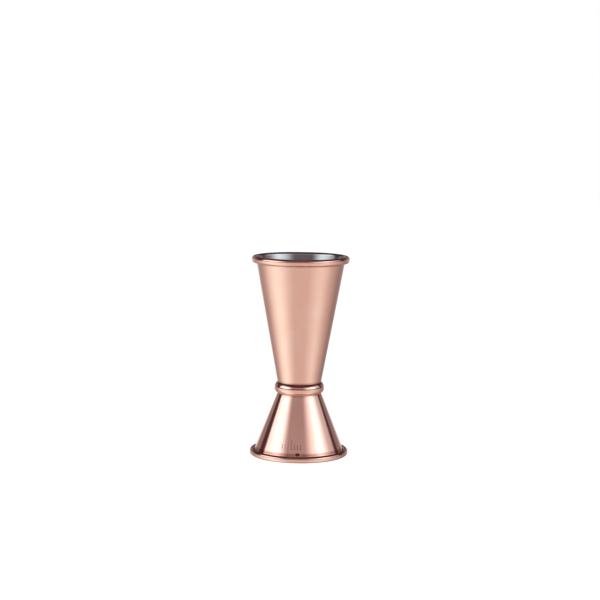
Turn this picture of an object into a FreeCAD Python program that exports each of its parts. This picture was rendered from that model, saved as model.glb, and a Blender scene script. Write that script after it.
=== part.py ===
import FreeCAD, Part
import math
import os

import Sketcher

# A double-ended bar measure: two drawn steel cups joined base to base, with a half-round ring
# round the waist. Millimetres, +Z up. The measure stands on its short cup, so the origin is the
# middle of the short cup's rim plane and the long cup opens upwards.

# Driving dimensions. Each one is a cell of the sheet, under its own alias.
DIMENSIONS = {
    "total_height": 98.5,
    "joint_height": 32.3,
    "sheet_thickness": 0.8,
    "base_corner": 1.0,
    "long_rim_diameter": 48.1,
    "long_half_angle": 10.5,
    "long_curl": 2.8,
    "short_rim_diameter": 48.5,
    "short_half_angle": 21.6,
    "short_curl": 2.5,
    "curl_drop": 0.6,
    "curl_gap": 0.12,
    "rim_facing": 0.05,
    "ring_height": 5.3,
    "ring_middle": 33.55,
    "ring_outer_diameter": 24.6,
    "ring_bore_diameter": 21.7,
    "ring_edge": 0.2,
    "filler_thickness": 0.15,
    "filler_diameter": 16.8,
}
SHEET = "Dimensions"

# Sizes worked out from the cells. A cup's length runs from the outside of its base to its rim.
LONG_LENGTH = "({total_height} - {joint_height} - {filler_thickness} / 2)"
SHORT_LENGTH = "({joint_height} - {filler_thickness} / 2)"
LONG_BASE = "{joint_height} + {filler_thickness} / 2"
SHORT_BASE = "{joint_height} - {filler_thickness} / 2"
RING_TOP = "({ring_middle} + {ring_height} / 2)"
RING_BOTTOM = "({ring_middle} - {ring_height} / 2)"
RING_CROWN = "(({ring_outer_diameter} - {ring_bore_diameter}) / 2 - {ring_edge})"

# Sketcher's numbers for its two axes, and for the start, end and centre of an edge.
X_AXIS = -1
Y_AXIS = -2
START = 1
END = 2
CENTRE = 3

TURNED_OVER = FreeCAD.Rotation(FreeCAD.Vector(1, 0, 0), 180)


def make_sheet(doc):
    """The spreadsheet of driving dimensions: a name and a number in each row."""
    sheet = doc.addObject("Spreadsheet::Sheet", SHEET)
    for row, (name, value) in enumerate(DIMENSIONS.items(), start=1):
        sheet.set(f"A{row}", name)
        sheet.set(f"B{row}", str(value))
        sheet.setAlias(f"B{row}", name)
    doc.recompute()


def expression(size):
    """The expression for a size, with each {name} replaced by its cell."""
    return size.format(**{name: f"{SHEET}.{name}" for name in DIMENSIONS})


def value(owner, size):
    """The number that a size comes to, in millimetres or radians."""
    result = owner.evalExpression(expression(size))
    if isinstance(result, FreeCAD.Units.Quantity):
        return math.radians(result.Value) if "deg" in size else result.Value
    return result


def new_body(doc, name):
    """An empty body whose Label is the sub-part's name."""
    body = doc.addObject("PartDesign::Body", name)
    body.Label = name
    return body


def section_sketch(body, name):
    """An empty sketch in the body's XZ plane, where x is the radius and y is the height."""
    sketch = body.newObject("Sketcher::SketchObject", name)
    plane = [item for item in body.Origin.OriginFeatures if item.Role == "XZ_Plane"][0]
    sketch.AttachmentSupport = (plane, [""])
    sketch.MapMode = "FlatFace"
    return sketch


def spin(body, sketch, kind="PartDesign::Revolution"):
    """Turns a section once round the body's Z axis: a Revolution adds, a Groove cuts."""
    feature = body.newObject(kind, f"{sketch.Name}_spun")
    feature.Profile = sketch
    feature.ReferenceAxis = (sketch, ["V_Axis"])
    feature.Angle = 360
    body.Tip = feature


def line(sketch, start, end):
    """Adds a straight edge between two (radius, height) places and gives its number."""
    return sketch.addGeometry(Part.LineSegment(FreeCAD.Vector(*start, 0), FreeCAD.Vector(*end, 0)), False)


def arc(sketch, centre, radius, start_angle, end_angle):
    """Adds an arc, anticlockwise between two angles in radians, and gives its number."""
    circle = Part.Circle(FreeCAD.Vector(*centre, 0), FreeCAD.Vector(0, 0, 1), radius)
    return sketch.addGeometry(Part.ArcOfCircle(circle, start_angle, end_angle), False)


def polar(centre, distance, angle):
    """The place at a distance and an angle, in radians, from a centre."""
    return (centre[0] + distance * math.cos(angle), centre[1] + distance * math.sin(angle))


def relate(sketch, kind, *relations):
    """Adds one constraint of a kind for each relation between edges."""
    for relation in relations:
        sketch.addConstraint(Sketcher.Constraint(kind, *relation))


def bind(sketch, kind, places, size):
    """Adds a dimension whose value follows the sheet's cells."""
    number = sketch.addConstraint(Sketcher.Constraint(kind, *places, value(sketch, size)))
    name = f"{kind}_{number}"
    sketch.renameConstraint(number, name)
    sketch.setExpression(f"Constraints.{name}", expression(size))


def cup_wall(sketch, length, rim, curl, half_angle):
    """The closed section of a cup, with the outside of its base on y = 0 and its mouth upwards.

    The sheet runs out along the flat base, round the corner and up the cone. At the rim it rolls
    outwards over a crest, straight down, and in round a tail: a hollow bead that is a little
    taller than wide, whose free edge stops just short of the wall.
    """
    curl_radius = f"{curl} / 2"
    eye_radius = f"({curl} / 2 - {{sheet_thickness}})"
    outer_corner_radius = "({base_corner} + {sheet_thickness})"
    lean_size = f"{half_angle} * 1 deg"
    curl_x = f"({rim} - {curl}) / 2"
    curl_y = f"{length} + {{rim_facing}} - {curl} / 2"

    # Starting places for the edges, close enough for the constraints to settle them.
    thick = value(sketch, "{sheet_thickness}")
    inner_corner = value(sketch, "{base_corner}")
    outer_corner = value(sketch, outer_corner_radius)
    roll = value(sketch, curl_radius)
    eye = value(sketch, eye_radius)
    lean = value(sketch, lean_size)
    drop = value(sketch, "{curl_drop}")
    crest_centre = (value(sketch, curl_x), value(sketch, curl_y))
    tail_centre = (crest_centre[0], crest_centre[1] - drop)
    wall_foot = crest_centre[0] - eye / math.cos(lean) - crest_centre[1] * math.tan(lean)
    corner_reach = outer_corner * (1 - math.sin(lean)) / math.cos(lean)
    corner_centre = (wall_foot - corner_reach, outer_corner)

    # Headings: square into the wall from the curl, and the free edge, just short of the wall.
    into_wall = math.pi - lean
    tail_to_wall = eye + drop * math.sin(lean)
    closing = math.acos((tail_to_wall - value(sketch, "{curl_gap}")) / roll)
    free_heading = into_wall + closing
    outwards = 0
    outwards_again = 2 * math.pi
    down = -math.pi / 2

    base_outside = line(sketch, (0, 0), (corner_centre[0], 0))
    corner_outside = arc(sketch, corner_centre, outer_corner, down, -lean)
    wall_outside = line(
        sketch,
        polar(corner_centre, outer_corner, -lean),
        polar(crest_centre, eye, into_wall),
    )
    eye_crest = arc(sketch, crest_centre, eye, outwards, into_wall)
    eye_side = line(
        sketch,
        polar(crest_centre, eye, outwards),
        polar(tail_centre, eye, outwards),
    )
    eye_tail = arc(sketch, tail_centre, eye, free_heading, outwards_again)
    free_edge = line(
        sketch,
        polar(tail_centre, eye, free_heading),
        polar(tail_centre, roll, free_heading),
    )
    roll_tail = arc(sketch, tail_centre, roll, free_heading, outwards_again)
    roll_side = line(
        sketch,
        polar(tail_centre, roll, outwards),
        polar(crest_centre, roll, outwards),
    )
    roll_crest = arc(sketch, crest_centre, roll, outwards, into_wall)
    wall_inside = line(
        sketch,
        polar(crest_centre, roll, into_wall),
        polar(corner_centre, inner_corner, -lean),
    )
    corner_inside = arc(sketch, corner_centre, inner_corner, down, -lean)
    base_inside = line(sketch, (corner_centre[0], thick), (0, thick))
    axis_side = line(sketch, (0, thick), (0, 0))

    relate(
        sketch,
        "Coincident",
        (base_outside, START, X_AXIS, START),
        (base_inside, END, axis_side, START),
        (axis_side, END, base_outside, START),
        (eye_tail, START, free_edge, START),
        (free_edge, END, roll_tail, START),
        (eye_crest, CENTRE, roll_crest, CENTRE),
        (eye_tail, CENTRE, roll_tail, CENTRE),
        (corner_inside, CENTRE, corner_outside, CENTRE),
    )
    relate(
        sketch,
        "Tangent",
        (base_outside, END, corner_outside, START),
        (corner_outside, END, wall_outside, START),
        (wall_outside, END, eye_crest, END),
        (eye_crest, START, eye_side, START),
        (eye_side, END, eye_tail, END),
        (roll_tail, END, roll_side, START),
        (roll_side, END, roll_crest, START),
        (roll_crest, END, wall_inside, START),
        (wall_inside, END, corner_inside, END),
        (corner_inside, START, base_inside, START),
    )
    relate(sketch, "Horizontal", (base_outside,), (base_inside,))
    relate(sketch, "Vertical", (axis_side,), (eye_side,))
    relate(sketch, "Equal", (eye_crest, eye_tail), (roll_crest, roll_tail))
    relate(sketch, "PointOnObject", (roll_tail, CENTRE, free_edge))

    bind(sketch, "Radius", (corner_inside,), "{base_corner}")
    bind(sketch, "Radius", (corner_outside,), outer_corner_radius)
    bind(sketch, "Radius", (eye_crest,), eye_radius)
    bind(sketch, "Radius", (roll_crest,), curl_radius)
    bind(sketch, "Angle", (wall_outside, START, Y_AXIS, START), lean_size)
    bind(sketch, "DistanceX", (X_AXIS, START, roll_crest, CENTRE), curl_x)
    bind(sketch, "DistanceY", (X_AXIS, START, roll_crest, CENTRE), curl_y)
    bind(sketch, "DistanceY", (roll_tail, CENTRE, roll_crest, CENTRE), "{curl_drop}")
    bind(sketch, "Distance", (roll_tail, START, wall_outside), "{curl_gap}")


def rim_facing(sketch, length, rim, curl):
    """The section cut off the crest of the rolled rim, which leaves a narrow flat to stand on."""
    outer = value(sketch, f"{rim} / 2")
    inner = outer - value(sketch, curl)
    crest = value(sketch, length)
    above = crest + value(sketch, curl)
    corners = ((inner, crest), (outer, crest), (outer, above), (inner, above))
    sides = [line(sketch, corners[i], corners[(i + 1) % 4]) for i in range(4)]
    bottom, right, top, left = sides
    relate(
        sketch,
        "Coincident",
        (bottom, END, right, START),
        (right, END, top, START),
        (top, END, left, START),
        (left, END, bottom, START),
    )
    relate(sketch, "Horizontal", (bottom,), (top,))
    relate(sketch, "Vertical", (right,), (left,))
    bind(sketch, "DistanceX", (X_AXIS, START, bottom, END), f"{rim} / 2")
    bind(sketch, "DistanceX", (bottom, START, bottom, END), curl)
    bind(sketch, "DistanceY", (X_AXIS, START, bottom, END), length)
    bind(sketch, "DistanceY", (right, START, right, END), curl)


def cup(doc, name, length, rim, curl, half_angle):
    """One cup, mouth up with the outside of its base on its own XY plane."""
    body = new_body(doc, name)
    wall = section_sketch(body, f"{name}_wall")
    cup_wall(wall, length, rim, curl, half_angle)
    spin(body, wall)
    facing = section_sketch(body, f"{name}_facing")
    rim_facing(facing, length, rim, curl)
    spin(body, facing, "PartDesign::Groove")
    return body


def long_cup(doc):
    """The long cup, which opens upwards from the joint."""
    body = cup(
        doc, "long_cup", LONG_LENGTH, "{long_rim_diameter}", "{long_curl}", "{long_half_angle}"
    )
    body.setExpression("Placement.Base.z", expression(LONG_BASE))
    return body


def short_cup(doc):
    """The short cup, turned over so that it opens downwards and is the foot."""
    body = cup(
        doc, "short_cup", SHORT_LENGTH, "{short_rim_diameter}", "{short_curl}", "{short_half_angle}"
    )
    body.Placement.Rotation = TURNED_OVER
    body.setExpression("Placement.Base.z", expression(SHORT_BASE))
    return body


def waist_ring(doc):
    """The ring round the joint: flat bore, blunt edges and a crowned outside."""
    half_height = "{ring_height} / 2"
    crown_radius = f"({{ring_height}}^2 / 4 + {RING_CROWN}^2) / (2 * {RING_CROWN})"
    body = new_body(doc, "waist_ring")
    sketch = section_sketch(body, "waist_ring_section")

    bore = value(sketch, "{ring_bore_diameter} / 2")
    shoulder = bore + value(sketch, "{ring_edge}")
    crest = value(sketch, half_height)
    radius = value(sketch, crown_radius)
    spread = math.asin(crest / radius)
    centre = (shoulder + value(sketch, RING_CROWN) - radius, 0)

    lower_edge = line(sketch, (bore, -crest), (shoulder, -crest))
    crown = arc(sketch, centre, radius, -spread, spread)
    upper_edge = line(sketch, (shoulder, crest), (bore, crest))
    bore_side = line(sketch, (bore, crest), (bore, -crest))
    relate(
        sketch,
        "Coincident",
        (lower_edge, END, crown, START),
        (crown, END, upper_edge, START),
        (upper_edge, END, bore_side, START),
        (bore_side, END, lower_edge, START),
    )
    relate(sketch, "Horizontal", (lower_edge,), (upper_edge,))
    relate(sketch, "PointOnObject", (crown, CENTRE, X_AXIS))
    relate(sketch, "Symmetric", (bore_side, START, bore_side, END, X_AXIS))
    bind(sketch, "DistanceX", (X_AXIS, START, bore_side, START), "{ring_bore_diameter} / 2")
    bind(sketch, "DistanceX", (lower_edge, START, lower_edge, END), "{ring_edge}")
    bind(sketch, "DistanceY", (bore_side, END, bore_side, START), "{ring_height}")
    bind(sketch, "Radius", (crown,), crown_radius)
    spin(body, sketch)
    body.setExpression("Placement.Base.z", expression("{ring_middle}"))
    return body


def base_filler(doc):
    """The thin disc of brazing filler that holds the two flat bases together."""
    disc = doc.addObject("Part::Cylinder", "base_filler")
    disc.Label = "base_filler"
    disc.setExpression("Radius", expression("{filler_diameter} / 2"))
    disc.setExpression("Height", expression("{filler_thickness}"))
    disc.setExpression("Placement.Base.z", expression(SHORT_BASE))
    return disc


def ring_fillet(doc, name, cup_length, height_up_cup, rim, curl, half_angle):
    """The filler in the corner between the ring's edge and a cup's wall, drawn on the edge's plane.

    It is a three-sided section with two equal legs: along the ring's blunt edge, and up the wall.
    """
    lean_size = f"{half_angle} * 1 deg"
    curl_y = f"({cup_length} + {{rim_facing}} - {curl} / 2)"
    wall_radius = (
        f"(({rim} - {curl}) / 2 - ({curl} / 2 - {{sheet_thickness}}) / cos({lean_size})"
        f" - ({curl_y} - {height_up_cup}) * tan({lean_size}))"
    )
    leg_size = f"({{ring_bore_diameter}} / 2 + {{ring_edge}} - {wall_radius})"
    body = new_body(doc, name)
    sketch = section_sketch(body, f"{name}_section")

    leg = value(sketch, leg_size)
    corner = (value(sketch, wall_radius), 0)
    toe = (corner[0] + leg, 0)
    top = polar(corner, leg, math.pi / 2 - value(sketch, lean_size))

    along_ring = line(sketch, corner, toe)
    slope = line(sketch, toe, top)
    along_wall = line(sketch, top, corner)
    relate(
        sketch,
        "Coincident",
        (along_ring, END, slope, START),
        (slope, END, along_wall, START),
        (along_wall, END, along_ring, START),
    )
    relate(sketch, "PointOnObject", (along_ring, START, X_AXIS))
    relate(sketch, "Horizontal", (along_ring,))
    relate(sketch, "Equal", (along_ring, along_wall))
    bind(sketch, "DistanceX", (X_AXIS, START, along_ring, START), wall_radius)
    bind(sketch, "DistanceX", (along_ring, START, along_ring, END), leg_size)
    bind(sketch, "Angle", (along_wall, END, Y_AXIS, START), lean_size)
    spin(body, sketch)
    return body


def upper_fillet(doc):
    """The filler between the ring's upper edge and the long cup."""
    height_up_cup = f"({RING_TOP} - ({LONG_BASE}))"
    body = ring_fillet(
        doc,
        "upper_ring_filler",
        LONG_LENGTH,
        height_up_cup,
        "{long_rim_diameter}",
        "{long_curl}",
        "{long_half_angle}",
    )
    body.setExpression("Placement.Base.z", expression(RING_TOP))
    return body


def lower_fillet(doc):
    """The filler between the ring's lower edge and the short cup, turned over like that cup."""
    height_up_cup = f"(({SHORT_BASE}) - {RING_BOTTOM})"
    body = ring_fillet(
        doc,
        "lower_ring_filler",
        SHORT_LENGTH,
        height_up_cup,
        "{short_rim_diameter}",
        "{short_curl}",
        "{short_half_angle}",
    )
    body.Placement.Rotation = TURNED_OVER
    body.setExpression("Placement.Base.z", expression(RING_BOTTOM))
    return body


def check(doc, parts):
    """Stops the build if a feature failed, a sketch is loose, or a sub-part isn't one sound solid."""
    for item in doc.Objects:
        if {"Invalid", "Error"} & set(item.State):
            raise RuntimeError(f"{item.Name} failed: {item.State}")
        if item.TypeId == "Sketcher::SketchObject" and item.solve() != 0:
            raise RuntimeError(f"{item.Name} has constraints that can't be met")
        if item.TypeId == "Sketcher::SketchObject" and not item.FullyConstrained:
            raise RuntimeError(f"{item.Name} isn't fully constrained")
    for part in parts:
        shape = part.Shape
        if shape.isNull() or not shape.isValid() or len(shape.Solids) != 1:
            raise RuntimeError(f"{part.Label} isn't one valid solid")


def main():
    doc = FreeCAD.newDocument("bar_jigger")
    make_sheet(doc)
    parts = [
        long_cup(doc),
        short_cup(doc),
        waist_ring(doc),
        base_filler(doc),
        upper_fillet(doc),
        lower_fillet(doc),
    ]
    doc.recompute()
    check(doc, parts)
    os.makedirs("parts", exist_ok=True)
    for part in parts:
        part.Shape.exportStep(f"parts/{part.Label}.step")
        box = part.Shape.BoundBox
        print(f"{part.Label}: {part.Shape.Volume:.1f} mm3, z {box.ZMin:.2f} to {box.ZMax:.2f}")


main()
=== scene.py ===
import math

import bmesh
import bpy
from mathutils import Matrix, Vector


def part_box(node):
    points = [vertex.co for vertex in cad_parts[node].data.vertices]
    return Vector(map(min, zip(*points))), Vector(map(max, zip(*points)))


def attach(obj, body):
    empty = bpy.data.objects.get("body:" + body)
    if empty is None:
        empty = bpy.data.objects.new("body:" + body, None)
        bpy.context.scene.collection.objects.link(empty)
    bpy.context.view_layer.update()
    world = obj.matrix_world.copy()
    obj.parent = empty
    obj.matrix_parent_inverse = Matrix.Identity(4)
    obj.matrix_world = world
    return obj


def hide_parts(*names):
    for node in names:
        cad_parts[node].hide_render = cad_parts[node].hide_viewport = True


# The looks of a double-ended bar measure: two copper plated steel cups joined base to base, with a
# ring round the waist, on a white floor. Metres, +Z up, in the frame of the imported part.

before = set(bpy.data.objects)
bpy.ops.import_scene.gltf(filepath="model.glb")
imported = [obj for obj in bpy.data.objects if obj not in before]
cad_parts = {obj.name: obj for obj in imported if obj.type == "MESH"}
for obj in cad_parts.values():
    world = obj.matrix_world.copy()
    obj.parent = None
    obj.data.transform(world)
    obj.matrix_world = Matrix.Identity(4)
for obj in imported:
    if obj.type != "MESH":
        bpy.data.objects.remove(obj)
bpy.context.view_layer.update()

# Places that the frame gives.
LONG_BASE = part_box("base_filler")[1][2]
SHORT_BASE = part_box("base_filler")[0][2]
JOINT = (LONG_BASE + SHORT_BASE) / 2
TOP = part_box("long_cup")[1][2]
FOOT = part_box("short_cup")[0][2]
RING_BOTTOM, RING_TOP = (corner[2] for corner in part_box("waist_ring"))
RING_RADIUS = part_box("waist_ring")[1][0]
RING_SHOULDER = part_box("upper_ring_filler")[1][0]

# Sizes that the frame's boxes don't show.
SHEET = 0.0008
BASE_CORNER = 0.001
LONG_CURL = 0.0014
SHORT_CURL = 0.00125
LONG_LEAN = math.radians(10.5)
SHORT_LEAN = math.radians(21.6)
CURL_DROP = 0.0006
CURL_GAP = 0.00012
RIM_FACING = 0.00005
RING_EDGE = 0.0002

# The plate ends, and bare steel begins, this far past the crest of a rim.
PLATE_END = math.radians(30)

# How finely the round pieces are cut, and how near to each other two points are the same one.
TURN_CUTS = 288
WALL_CUTS = 40
CLOSE_CUTS = 8 * WALL_CUTS
ARC_STEP = math.radians(6)
SHARP_ANGLE = math.radians(12)
TOUCH = SHEET / 1000

# Material slots of a lathed mesh.
PLATED = 0
BARE = 1


# ---------------------------------------------------------------- outlines

def polar(centre, distance, angle):
    """The point at a distance and an angle from a centre."""
    return (centre[0] + distance * math.cos(angle), centre[1] + distance * math.sin(angle))


def straight(start, end, cuts):
    """Points along a straight run of an outline, both ends included."""
    return [
        tuple(a + (b - a) * i / cuts for a, b in zip(start, end))
        for i in range(cuts + 1)
    ]


def held(start, end):
    """A long straight run, with a close row at each end so that smooth shading keeps it straight."""
    rows = straight(start, end, WALL_CUTS)
    close = straight(start, end, CLOSE_CUTS)
    return [rows[0], close[1], *rows[1:-1], close[-2], rows[-1]]


def rounded(centre, radius, start, end):
    """Points along an arc of an outline, both ends included."""
    cuts = max(2, math.ceil(abs(end - start) / ARC_STEP))
    return [polar(centre, radius, start + (end - start) * i / cuts) for i in range(cuts + 1)]


class Cup:
    """The outline of a cup's bent sheet, with its base on y = 0 and its mouth up."""

    def __init__(self, length, rim, curl, lean):
        self.lean = lean
        self.curl = curl
        self.eye = curl - SHEET
        self.crest = (rim - curl, length + RIM_FACING - curl)
        self.tail = (self.crest[0], self.crest[1] - CURL_DROP)

    def wall(self, height):
        """The radius of the outer wall at a height above the base."""
        reach = self.eye / math.cos(self.lean)
        return self.crest[0] - reach - (self.crest[1] - height) * math.tan(self.lean)

    def spans(self):
        """The sheet's outline in spans, each with its material slot."""
        lean, eye, curl = self.lean, self.eye, self.curl
        outer_corner = BASE_CORNER + SHEET
        corner_reach = outer_corner * (1 - math.sin(lean)) / math.cos(lean)
        corner = (self.wall(0) - corner_reach, outer_corner)
        down = -math.pi / 2
        into_wall = math.pi - lean
        tail_to_wall = eye + CURL_DROP * math.sin(lean)
        free = into_wall + math.acos((tail_to_wall - CURL_GAP) / curl)
        land = math.acos((curl - RIM_FACING) / curl)
        land_start = math.pi / 2 - land
        land_end = math.pi / 2 + land
        plate_end = math.pi / 2 + PLATE_END

        def on_crest(radius, angle):
            return polar(self.crest, radius, angle)

        def on_tail(radius, angle):
            return polar(self.tail, radius, angle)

        return [
            (PLATED, straight((0, 0), (corner[0], 0), 6)),
            (PLATED, rounded(corner, outer_corner, down, -lean)),
            (PLATED, held(polar(corner, outer_corner, -lean), on_crest(eye, into_wall))),
            (PLATED, rounded(self.crest, eye, into_wall, 0)),
            (PLATED, straight(on_crest(eye, 0), on_tail(eye, 0), 2)),
            (PLATED, rounded(self.tail, eye, 2 * math.pi, free)),
            (PLATED, straight(on_tail(eye, free), on_tail(curl, free), 2)),
            (PLATED, rounded(self.tail, curl, free, 2 * math.pi)),
            (PLATED, straight(on_tail(curl, 0), on_crest(curl, 0), 3)),
            (PLATED, rounded(self.crest, curl, 0, land_start)),
            (PLATED, straight(on_crest(curl, land_start), on_crest(curl, land_end), 3)),
            (PLATED, rounded(self.crest, curl, land_end, plate_end)),
            (BARE, rounded(self.crest, curl, plate_end, into_wall)),
            (BARE, held(on_crest(curl, into_wall), polar(corner, BASE_CORNER, -lean))),
            (BARE, rounded(corner, BASE_CORNER, -lean, down)),
            (BARE, straight((corner[0], SHEET), (0, SHEET), 6)),
        ]


LONG_CUP = Cup(TOP - LONG_BASE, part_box("long_cup")[1][0], LONG_CURL, LONG_LEAN)
SHORT_CUP = Cup(SHORT_BASE - FOOT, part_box("short_cup")[1][0], SHORT_CURL, SHORT_LEAN)


def ring_outline():
    """The spans of the waist ring's section: crowned outside, blunt edges, flat bore."""
    half_height = (RING_TOP - RING_BOTTOM) / 2
    middle = (RING_TOP + RING_BOTTOM) / 2
    crown = RING_RADIUS - RING_SHOULDER
    radius = (half_height**2 + crown**2) / (2 * crown)
    spread = math.asin(half_height / radius)
    bore = RING_SHOULDER - RING_EDGE
    return [
        (PLATED, rounded((RING_RADIUS - radius, middle), radius, -spread, spread)),
        (PLATED, straight((RING_SHOULDER, RING_TOP), (bore, RING_TOP), 2)),
        (PLATED, straight((bore, RING_TOP), (bore, RING_BOTTOM), 4)),
        (PLATED, straight((bore, RING_BOTTOM), (RING_SHOULDER, RING_BOTTOM), 2)),
    ]


def fillet_outline(cup, height):
    """The spans of a filler fillet: a hollow face between the ring's edge, on y = 0, and a cup."""
    wall = cup.wall(height)
    leg = RING_SHOULDER - wall
    hollow = leg * math.tan((math.pi / 2 - cup.lean) / 2)
    face = rounded((RING_SHOULDER, hollow), hollow, 1.5 * math.pi, math.pi - cup.lean)
    return [
        (PLATED, face),
        (PLATED, [face[-1], (wall, 0)]),
        (PLATED, [(wall, 0), face[0]]),
    ]


# ---------------------------------------------------------------- lathed pieces

def lathed(name, spans, base, up):
    """A smooth mesh of an outline turned once round the Z axis. y = 0 goes to base, and up is 1 or -1."""
    rows = [spans[0][1][0]]
    slots = []
    for slot, points in spans:
        rows += points[1:]
        slots += [slot] * (len(points) - 1)
    closed = math.dist(rows[0], rows[-1]) < TOUCH
    if closed:
        rows.pop()

    mesh = bmesh.new()
    turned = []
    for radius, height in rows:
        z = base + up * height
        if radius < TOUCH:
            turned.append([mesh.verts.new((0, 0, z))] * TURN_CUTS)
            continue
        angles = (2 * math.pi * i / TURN_CUTS for i in range(TURN_CUTS))
        turned.append([mesh.verts.new((*polar((0, 0), radius, angle), z)) for angle in angles])

    for row, slot in enumerate(slots):
        near = turned[row]
        far = turned[(row + 1) % len(turned)]
        for i in range(TURN_CUTS):
            j = (i + 1) % TURN_CUTS
            corners = dict.fromkeys((near[i], near[j], far[j], far[i]))
            face = mesh.faces.new(tuple(corners))
            face.material_index = slot
            face.smooth = True
    bmesh.ops.recalc_face_normals(mesh, faces=mesh.faces)

    data = bpy.data.meshes.new(name)
    mesh.to_mesh(data)
    mesh.free()
    data.set_sharp_from_angle(angle=SHARP_ANGLE)
    piece = bpy.data.objects.new(name, data)
    bpy.context.scene.collection.objects.link(piece)
    return piece


# ---------------------------------------------------------------- node graphs

def node(tree, kind, inputs=None, **settings):
    """Adds a node. Its inputs are numbers, colours or other nodes' outputs."""
    made = tree.nodes.new(kind)
    for name, value in settings.items():
        setattr(made, name, value)
    for key, value in (inputs or {}).items():
        if isinstance(value, bpy.types.NodeSocket):
            tree.links.new(value, made.inputs[key])
        else:
            made.inputs[key].default_value = value
    return made


def maths(tree, operation, *values):
    """The output of a Math node."""
    return node(tree, "ShaderNodeMath", dict(enumerate(values)), operation=operation).outputs[0]


def total(tree, values):
    """The sum of some outputs."""
    result = values[0]
    for value in values[1:]:
        result = maths(tree, "ADD", result, value)
    return result


def eased(tree, value, start, end, low=0.0, high=1.0):
    """Goes smoothly from low to high while value goes from start to end."""
    inputs = {"Value": value, "From Min": start, "From Max": end, "To Min": low, "To Max": high}
    return node(tree, "ShaderNodeMapRange", inputs, interpolation_type="SMOOTHSTEP").outputs[0]


def between(tree, value, low, high, low_blur, high_blur):
    """1 while value is between low and high, with blurred ends, and 0 elsewhere."""
    rise = eased(tree, value, low - low_blur / 2, low + low_blur / 2)
    fall = eased(tree, value, high - high_blur / 2, high + high_blur / 2, 1.0, 0.0)
    return maths(tree, "MULTIPLY", rise, fall)


def noise(tree, place, detail=3.0, rough=0.5):
    """A noise output about 0.5 at a place that is already scaled."""
    inputs = {"Vector": place, "Scale": 1.0, "Detail": detail, "Roughness": rough}
    return node(tree, "ShaderNodeTexNoise", inputs).outputs["Fac"]


def mixed(tree, factor, first, second):
    """A colour between two colours."""
    made = node(tree, "ShaderNodeMix", {"Factor": factor}, data_type="RGBA")
    for name, value in (("A", first), ("B", second)):
        socket = [s for s in made.inputs if s.name == name and s.type == "RGBA"][0]
        if isinstance(value, bpy.types.NodeSocket):
            tree.links.new(value, socket)
        else:
            socket.default_value = value
    return [s for s in made.outputs if s.type == "RGBA"][0]


def bump(tree, height, depth, under=None):
    """A normal with a relief of a depth in metres, on top of another normal."""
    inputs = {"Strength": 1.0, "Distance": depth, "Height": height}
    if under is not None:
        inputs["Normal"] = under
    return node(tree, "ShaderNodeBump", inputs).outputs["Normal"]


# ---------------------------------------------------------------- materials

# Lines round the axis are given as their pitch, the reach over which they fade and their detail.
# Tones are the two colours that a metal goes between, and roughnesses the two ends of its range.

# How softly a hairline scratch ends, in steps of the noise that it is cut from.
HAIR_EDGE = 0.03


class Turned:
    """The places that the materials of round pieces are drawn by."""

    def __init__(self, tree):
        self.tree = tree
        place = node(tree, "ShaderNodeTexCoord").outputs["Object"]
        parts = node(tree, "ShaderNodeSeparateXYZ", {"Vector": place}).outputs
        self.place = place
        self.x, self.y, self.z = parts
        across = node(tree, "ShaderNodeCombineXYZ", {"X": self.x, "Y": self.y}).outputs[0]
        length = node(tree, "ShaderNodeVectorMath", {0: across}, operation="LENGTH")
        self.radius = length.outputs["Value"]
        height = maths(tree, "SUBTRACT", self.z, JOINT)
        self.along = maths(tree, "ADD", maths(tree, "ABSOLUTE", height), self.radius)

    def lines(self, pitch, reach, detail=3.0):
        """Noise drawn out round the axis: lines of a pitch that fade over a reach."""
        tree = self.tree
        parts = {
            "X": maths(tree, "DIVIDE", self.x, reach),
            "Y": maths(tree, "DIVIDE", self.y, reach),
            "Z": maths(tree, "DIVIDE", self.along, pitch),
        }
        return noise(tree, node(tree, "ShaderNodeCombineXYZ", parts).outputs[0], detail)

    def blotches(self, size, detail=3.0):
        """Noise with no direction."""
        inputs = {0: self.place, "Scale": 1 / size}
        made = node(self.tree, "ShaderNodeVectorMath", inputs, operation="SCALE")
        return noise(self.tree, made.outputs[0], detail)

    def scratches(self, width, length, turn, share):
        """Sparse hairlines in one direction: 1 on a line and 0 elsewhere."""
        inputs = {
            "Vector": self.place,
            "Rotation": turn,
            "Scale": (1 / width, 1 / length, 1 / length),
        }
        place = node(self.tree, "ShaderNodeMapping", inputs).outputs[0]
        return eased(self.tree, noise(self.tree, place, 1.0), 1 - share, 1 - share + HAIR_EDGE)


def new_material(name):
    """An empty material and its node tree."""
    material = bpy.data.materials.new(name)
    material.use_nodes = True
    material.node_tree.nodes.clear()
    return material, material.node_tree


def finish_material(tree, shader):
    """Joins a shader to the material's output."""
    node(tree, "ShaderNodeOutputMaterial", {"Surface": shader})


# The scale etched low on the short cup: a row of ticks, the middle one twice as tall, and an oval
# dot, whose place and reach are given across the front and up.
TICKS_HEIGHT = 0.0062
TICKS_MIDDLE = -0.0036
TICKS_REACH = 0.0050
TICK_PITCH = 0.0015
TICK_WIDTH = 0.0004
TICK_HEIGHT = 0.0020
TICK_STAIN = 0.45
DOT_PLACE = (-0.0005, 0.0039)
DOT_REACH = (0.0013, 0.0008)
DOT_FADE = 0.6
DOT_STAIN = 0.95
ETCH_DEPTH = 0.00002
ETCH_ROUGHNESS = 0.25


def low_front_place(tree, turned):
    """How far across the short cup's front a place near its rim is, in metres."""
    towards_front = maths(tree, "MULTIPLY", turned.y, -1.0)
    around = maths(tree, "ARCTAN2", turned.x, towards_front)
    return maths(tree, "MULTIPLY", around, SHORT_CUP.wall(SHORT_BASE - TICKS_HEIGHT))


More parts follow.
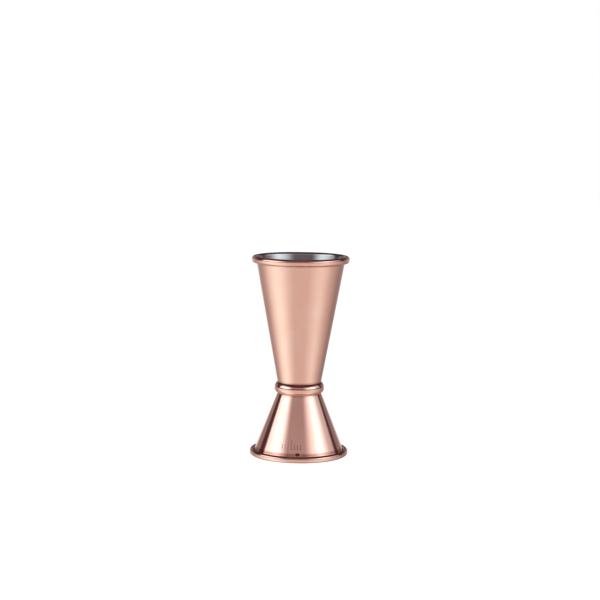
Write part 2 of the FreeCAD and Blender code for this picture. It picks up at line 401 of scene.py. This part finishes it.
def etched_ticks(tree, turned):
    """A plain scale of short upright ticks, low on the front: 1 where it is etched."""
    half_pitch = TICK_PITCH / 2
    soft = TICK_WIDTH / 2
    from_middle = maths(tree, "SUBTRACT", low_front_place(tree, turned), TICKS_MIDDLE)
    pitch_place = maths(tree, "ADD", from_middle, half_pitch)
    pitch_place = maths(tree, "PINGPONG", pitch_place, half_pitch)
    upright = eased(tree, pitch_place, half_pitch - TICK_WIDTH, half_pitch - TICK_WIDTH / 3)
    side = maths(tree, "ABSOLUTE", from_middle)
    in_row = eased(tree, side, TICKS_REACH, TICKS_REACH + soft, 1.0, 0.0)
    centre_one = eased(tree, side, half_pitch, half_pitch + soft, 1.0, 0.0)
    above = maths(tree, "SUBTRACT", turned.z, TICKS_HEIGHT)
    over = maths(tree, "SUBTRACT", above, maths(tree, "MULTIPLY", centre_one, TICK_HEIGHT))
    low_end = eased(tree, above, -soft, soft)
    high_end = eased(tree, over, TICK_HEIGHT, TICK_HEIGHT + soft, 1.0, 0.0)
    ticks = maths(tree, "MULTIPLY", upright, in_row)
    return maths(tree, "MULTIPLY", ticks, maths(tree, "MULTIPLY", low_end, high_end))


def etched_dot(tree, turned):
    """A plain oval dot under the ticks: 1 where it is etched."""
    across = maths(tree, "SUBTRACT", low_front_place(tree, turned), DOT_PLACE[0])
    above = maths(tree, "SUBTRACT", turned.z, DOT_PLACE[1])
    parts = {
        "X": maths(tree, "DIVIDE", across, DOT_REACH[0]),
        "Y": maths(tree, "DIVIDE", above, DOT_REACH[1]),
    }
    place = node(tree, "ShaderNodeCombineXYZ", parts).outputs[0]
    away = node(tree, "ShaderNodeVectorMath", {0: place}, operation="LENGTH").outputs["Value"]
    return eased(tree, away, DOT_FADE, 1.0, 1.0, 0.0)


# Copper plate: its tones, the brown of the painted shade in a crevice (also the etched ticks' colour),
# the darker stain in the etched dot, how large the changes of tone and of the painted shade are, and the
# haze, waves and fine lines of its polish.
COPPER_TONES = ((0.920, 0.560, 0.440, 1), (0.905, 0.530, 0.405, 1))
# Painted shade: the brown that the plate is darkened towards in its crevices; the etched ticks take it
# too.
SHADE_AND_ETCH_BROWN = (0.44, 0.18, 0.13, 1)
STAINED = (0.12, 0.05, 0.035, 1)
TONE_BLOTCH = 0.012
# The size of the patches in the painted crevice shade.
SHADE_BLOTCH = 0.004
COPPER_ROUGHNESSES = (0.035, 0.085)
COPPER_HAZE = (0.004, 0.03)
COPPER_WAVES = (0.006, 0.05, 1.0)
COPPER_WAVE_DEPTH = 0.000004
COPPER_LINES = (0.00035, 0.02, 4.0)
COPPER_LINE_DEPTH = 0.0000012

# Polishing scratches in the copper: how wide and how long they are, and which way they run.
HAIRS = (
    (0.00006, 0.006, (0.3, 0.9, 0.4)),
    (0.00005, 0.009, (1.2, 0.2, 1.9)),
    (0.00007, 0.005, (2.1, 1.4, 0.7)),
)
HAIR_SHARE = 0.32
HAIR_DEPTH = 0.0000012
HAIR_ROUGHNESS = 0.10


def copper_plate(name, crevices, marked=False):
    """Polished copper plate, darkened brown with painted shade along its crevices: each a height, a reach
    and how strongly.
    """
    material, tree = new_material(name)
    turned = Turned(tree)
    tone = eased(tree, turned.blotches(TONE_BLOTCH), 0.35, 0.7)
    colour = mixed(tree, tone, *COPPER_TONES)
    # Painted shade: the colour is darkened towards brown in patches along each crevice, where shade
    # falls.
    painted_shades = []
    for height, reach, strength in crevices:
        away = maths(tree, "ABSOLUTE", maths(tree, "SUBTRACT", turned.z, height))
        painted_shades.append(eased(tree, away, 0.0, reach, strength, 0.0))
    patches = eased(tree, turned.blotches(SHADE_BLOTCH), 0.3, 0.7, 0.7)
    patchy_shade = maths(tree, "MULTIPLY", total(tree, painted_shades), patches)
    colour = mixed(tree, patchy_shade, colour, SHADE_AND_ETCH_BROWN)

    hairs = [turned.scratches(width, length, turn, HAIR_SHARE) for width, length, turn in HAIRS]
    scratch = maths(tree, "MINIMUM", total(tree, hairs), 1.0)
    rough = eased(tree, turned.lines(*COPPER_HAZE), 0.3, 0.75, *COPPER_ROUGHNESSES)
    rough = maths(tree, "ADD", rough, maths(tree, "MULTIPLY", scratch, HAIR_ROUGHNESS))

    relief = bump(tree, turned.lines(*COPPER_WAVES), COPPER_WAVE_DEPTH)
    relief = bump(tree, turned.lines(*COPPER_LINES), COPPER_LINE_DEPTH, relief)
    relief = bump(tree, scratch, -HAIR_DEPTH, relief)
    if marked:
        ticks = etched_ticks(tree, turned)
        dot = etched_dot(tree, turned)
        colour = mixed(tree, maths(tree, "MULTIPLY", ticks, TICK_STAIN), colour, SHADE_AND_ETCH_BROWN)
        colour = mixed(tree, maths(tree, "MULTIPLY", dot, DOT_STAIN), colour, STAINED)
        etched = maths(tree, "MAXIMUM", ticks, dot)
        rough = maths(tree, "ADD", rough, maths(tree, "MULTIPLY", etched, ETCH_ROUGHNESS))
        relief = bump(tree, etched, -ETCH_DEPTH, relief)
    shader = {
        "Base Color": colour,
        "Metallic": 1.0,
        "Roughness": rough,
        "Normal": relief,
    }
    finish_material(tree, node(tree, "ShaderNodeBsdfPrincipled", shader).outputs[0])
    return material


# Bare steel: its tones and their bands, its satin finish, and its waves and turning lines.
STEEL_TONES = ((0.445, 0.430, 0.412, 1), (0.505, 0.490, 0.472, 1))
STEEL_BANDS = (0.002, 0.03)
STEEL_ROUGHNESSES = (0.13, 0.22)
STEEL_WAVES = (0.003, 0.05, 1.0)
STEEL_WAVE_DEPTH = 0.000003
STEEL_LINES = (0.00030, 0.03, 5.0)
STEEL_LINE_DEPTH = 0.000004


def bare_steel(name):
    """Satin stainless steel, turned inside a cup."""
    material, tree = new_material(name)
    turned = Turned(tree)
    lines = turned.lines(*STEEL_LINES)
    tone = eased(tree, turned.lines(*STEEL_BANDS), 0.3, 0.7)
    colour = mixed(tree, tone, *STEEL_TONES)
    relief = bump(tree, turned.lines(*STEEL_WAVES), STEEL_WAVE_DEPTH)
    shader = {
        "Base Color": colour,
        "Metallic": 1.0,
        "Roughness": eased(tree, lines, 0.3, 0.7, *STEEL_ROUGHNESSES),
        "Normal": bump(tree, lines, STEEL_LINE_DEPTH, relief),
    }
    finish_material(tree, node(tree, "ShaderNodeBsdfPrincipled", shader).outputs[0])
    return material


# Filler: its grain and how deep it is, its smoother patches, and the two fillers' tones.
FILLER_GRAIN = 0.0006
FILLER_GRAIN_DEPTH = 0.00001
FILLER_BLOTCH = 0.0015
FILLER_ROUGHNESSES = (0.18, 0.34)
PLATED_FILLER_TONES = ((0.80, 0.42, 0.30, 1), (0.58, 0.29, 0.20, 1))
BRAZING_FILLER_TONES = ((0.82, 0.66, 0.36, 1), (0.66, 0.50, 0.27, 1))


def filler(name, tones):
    """Brazing filler: grainy metal between two tones."""
    material, tree = new_material(name)
    turned = Turned(tree)
    grain = turned.blotches(FILLER_GRAIN, 5.0)
    patches = turned.blotches(FILLER_BLOTCH)
    shader = {
        "Base Color": mixed(tree, eased(tree, grain, 0.35, 0.65), *tones),
        "Metallic": 1.0,
        "Roughness": eased(tree, patches, 0.3, 0.7, *FILLER_ROUGHNESSES),
        "Normal": bump(tree, grain, FILLER_GRAIN_DEPTH),
    }
    finish_material(tree, node(tree, "ShaderNodeBsdfPrincipled", shader).outputs[0])
    return material


# ---------------------------------------------------------------- the pieces

# How far the painted shade of a crevice reaches and how strong it is: where a cup meets the ring, on
# the ring's two edges, and where a wall meets its rolled rim.
CUP_AT_RING = (0.0014, 0.7)
RING_TOP_EDGE = (0.0006, 0.7)
RING_BOTTOM_EDGE = (0.0008, 0.7)
LONG_WALL_AT_RIM = (0.0009, 0.6)
SHORT_WALL_AT_RIM = (0.0013, 0.95)

# The painted shade at the short cup's rim is strongest this far up its wall.
SHADE_RISE = 0.0004


def take_place(piece, cad_node, materials):
    """The piece stands for a CAD node, with its finish."""
    for material in materials:
        piece.data.materials.append(material)
    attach(piece, "root")
    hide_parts(cad_node)


steel = bare_steel("satin_steel")

long_cup = lathed("long_cup_sheet", LONG_CUP.spans(), LONG_BASE, 1)
# Each cup and the ring get painted shade along their crevices.
under_long_rim = TOP - 2 * LONG_CURL - CURL_DROP
long_crevices = [(RING_TOP, *CUP_AT_RING), (under_long_rim, *LONG_WALL_AT_RIM)]
long_plate = copper_plate("long_cup_plate", long_crevices)
take_place(long_cup, "long_cup", [long_plate, steel])

short_cup = lathed("short_cup_sheet", SHORT_CUP.spans(), SHORT_BASE, -1)
over_short_rim = FOOT + 2 * SHORT_CURL + CURL_DROP + SHADE_RISE
short_crevices = [(RING_BOTTOM, *CUP_AT_RING), (over_short_rim, *SHORT_WALL_AT_RIM)]
short_plate = copper_plate("short_cup_plate", short_crevices, marked=True)
take_place(short_cup, "short_cup", [short_plate, steel])

ring = lathed("waist_ring_band", ring_outline(), 0, 1)
ring_crevices = [(RING_TOP, *RING_TOP_EDGE), (RING_BOTTOM, *RING_BOTTOM_EDGE)]
ring_plate = copper_plate("waist_ring_plate", ring_crevices)
take_place(ring, "waist_ring", [ring_plate])

plated_filler = filler("plated_filler", PLATED_FILLER_TONES)
upper_spans = fillet_outline(LONG_CUP, RING_TOP - LONG_BASE)
upper_fillet = lathed("upper_ring_filler_run", upper_spans, RING_TOP, 1)
take_place(upper_fillet, "upper_ring_filler", [plated_filler])

lower_spans = fillet_outline(SHORT_CUP, SHORT_BASE - RING_BOTTOM)
lower_fillet = lathed("lower_ring_filler_run", lower_spans, RING_BOTTOM, -1)
take_place(lower_fillet, "lower_ring_filler", [plated_filler])

brass = filler("brazing_filler", BRAZING_FILLER_TONES)
base_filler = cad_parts["base_filler"]
for material_slot in base_filler.material_slots:
    material_slot.material = brass


# ---------------------------------------------------------------- floor, backdrop and light

FLOOR_RADIUS = 2.4
BACKDROP_RADIUS = 2.6
FLOOR_DROP = 0.00002
FLOOR_GLOW = 0.88
BACKDROP_GLOW = 1.0
FLOOR_TONES = ((0.58, 0.58, 0.58, 1), (0.60, 0.60, 0.60, 1))
WHITE = (1, 1, 1, 1)


def glow(tree, strength):
    """A plain white light."""
    return node(tree, "ShaderNodeEmission", {"Color": WHITE, "Strength": strength}).outputs[0]


def floor_material():
    """White and softly lit of its own, so that shade on it stays faint. It isn't there from below."""
    material, tree = new_material("floor_white")
    grain = noise(tree, node(tree, "ShaderNodeTexCoord").outputs["Object"])
    colour = mixed(tree, grain, *FLOOR_TONES)
    paint = node(tree, "ShaderNodeBsdfDiffuse", {"Color": colour}).outputs[0]
    lit = node(tree, "ShaderNodeAddShader", {0: paint, 1: glow(tree, FLOOR_GLOW)}).outputs[0]
    clear = node(tree, "ShaderNodeBsdfTransparent").outputs[0]
    below = node(tree, "ShaderNodeNewGeometry").outputs["Backfacing"]
    finish_material(tree, node(tree, "ShaderNodeMixShader", {0: below, 1: lit, 2: clear}).outputs[0])
    return material


def backdrop_material():
    """Plain white."""
    material, tree = new_material("backdrop_white")
    finish_material(tree, glow(tree, BACKDROP_GLOW))
    return material


def staged(name, mesh, material, seen_by_diffuse):
    """A stage piece from a bmesh. It is left out of reflections, which show the studio instead."""
    data = bpy.data.meshes.new(name)
    mesh.to_mesh(data)
    mesh.free()
    data.materials.append(material)
    piece = bpy.data.objects.new(name, data)
    bpy.context.scene.collection.objects.link(piece)
    piece.visible_glossy = False
    piece.visible_diffuse = seen_by_diffuse
    piece.visible_shadow = False


disc = bmesh.new()
bmesh.ops.create_circle(
    disc,
    cap_ends=True,
    segments=96,
    radius=FLOOR_RADIUS,
    matrix=Matrix.Translation((0, 0, FOOT - FLOOR_DROP)),
)
staged("floor", disc, floor_material(), seen_by_diffuse=True)

dome = bmesh.new()
bmesh.ops.create_icosphere(dome, subdivisions=4, radius=BACKDROP_RADIUS)
staged("backdrop", dome, backdrop_material(), seen_by_diffuse=False)

# The studio: soft cards round the measure, each with its tint and strength, the azimuths and
# elevations that it spans, and how blurred its left, right, lower and upper edges are, in degrees.
# Azimuth 0 is the camera's side, and 90 is to the right.
DARK = (0.085, 0.044, 0.055)
PLAIN = (1.00, 1.00, 1.00)
COOL = (0.88, 1.00, 1.10)
COLD = (0.68, 1.00, 1.04)
ROSE = (1.06, 1.00, 1.05)
CARDS = [
    # Soft boxes to the left and right, a low fill over the camera, glows low at the back, and a
    # faint light overhead.
    (COOL, 1.55, -104, -46, 10, 37, 9, 34, 14, 22),
    (COOL, 0.50, -86, -48, 10, 37, 16, 34, 14, 22),
    (COOL, 1.60, 34, 81, 10, 37, 38, 38, 14, 22),
    (COOL, 0.66, 58, 112, 10, 37, 24, 10, 14, 22),
    (ROSE, 0.355, -40, 36, 17, 37, 30, 30, 10, 12),
    (PLAIN, 0.24, 140, 220, -9, 1, 24, 24, 6, 6),
    (PLAIN, 0.24, 184, 234, 0, 17, 10, 8, 10, 8),
    (PLAIN, 0.20, 126, 176, 0, 17, 8, 10, 10, 8),
    (PLAIN, 0.12, -180, 180, 76, 99, 0, 0, 8, 4),
    # The floor: brighter at the front, towards the boxes and straight behind, and dimmer right
    # under the measure.
    (PLAIN, 0.245, -180, 180, -99, -1, 0, 0, 4, 4),
    (PLAIN, 0.40, -118, 108, -66, -1, 50, 60, 24, 4),
    (COLD, 0.68, -97, -46, -66, -1, 60, 60, 24, 4),
    (COLD, 0.32, 38, 78, -66, -1, 50, 36, 24, 4),
    (PLAIN, 0.10, 160, 240, -66, -1, 40, 40, 24, 4),
    (PLAIN, 0.32, 172, 202, -66, -1, 36, 24, 24, 4),
]


def card_light(tree, azimuth, elevation, card):
    """The light of one card in a direction."""
    tint, strength, left, right, low, high, left_blur, right_blur, low_blur, high_blur = card
    light = maths(tree, "MULTIPLY", between(tree, elevation, low, high, low_blur, high_blur), strength)
    middle = (left + right) / 2
    half = (right - left) / 2
    if half < 180:
        turn = maths(tree, "WRAP", maths(tree, "SUBTRACT", azimuth, middle), 180.0, -180.0)
        width = between(tree, turn, -half, half, left_blur, right_blur)
        light = maths(tree, "MULTIPLY", light, width)
    inputs = {0: tint, "Scale": light}
    return node(tree, "ShaderNodeVectorMath", inputs, operation="SCALE").outputs[0]


def studio():
    """The world: every card, over a dim room."""
    world = bpy.data.worlds.new("studio")
    world.use_nodes = True
    tree = world.node_tree
    tree.nodes.clear()
    heading = node(tree, "ShaderNodeTexCoord").outputs["Generated"]
    x, y, z = node(tree, "ShaderNodeSeparateXYZ", {"Vector": heading}).outputs
    towards_camera = maths(tree, "MULTIPLY", y, -1.0)
    azimuth = maths(tree, "DEGREES", maths(tree, "ARCTAN2", x, towards_camera))
    elevation = maths(tree, "DEGREES", maths(tree, "ARCSINE", z))
    light = DARK
    for card in CARDS:
        inputs = {0: light, 1: card_light(tree, azimuth, elevation, card)}
        light = node(tree, "ShaderNodeVectorMath", inputs, operation="ADD").outputs[0]
    shade = node(tree, "ShaderNodeBackground", {"Color": light, "Strength": 1.0}).outputs[0]
    node(tree, "ShaderNodeOutputWorld", {"Surface": shade})
    bpy.context.scene.world = world


studio()


# ---------------------------------------------------------------- camera

CAMERA_PLACE = (-0.00015, -0.8084, 0.1693)
CAMERA_PITCH = math.radians(6.53)
CAMERA_ROLL = math.radians(0.67)
LENS_LENGTH = 99.36
SENSOR_WIDTH = 36
NEAREST = 0.01
FARTHEST = 10

lens = bpy.data.cameras.new("camera")
lens.lens = LENS_LENGTH
lens.sensor_width = SENSOR_WIDTH
lens.clip_start = NEAREST
lens.clip_end = FARTHEST
camera = bpy.data.objects.new("camera", lens)
bpy.context.scene.collection.objects.link(camera)
turn = Matrix.Rotation(math.pi / 2 - CAMERA_PITCH, 4, "X") @ Matrix.Rotation(CAMERA_ROLL, 4, "Z")
camera.matrix_world = Matrix.Translation(CAMERA_PLACE) @ turn
bpy.context.scene.camera = camera
bpy.context.scene.view_settings.view_transform = "Standard"
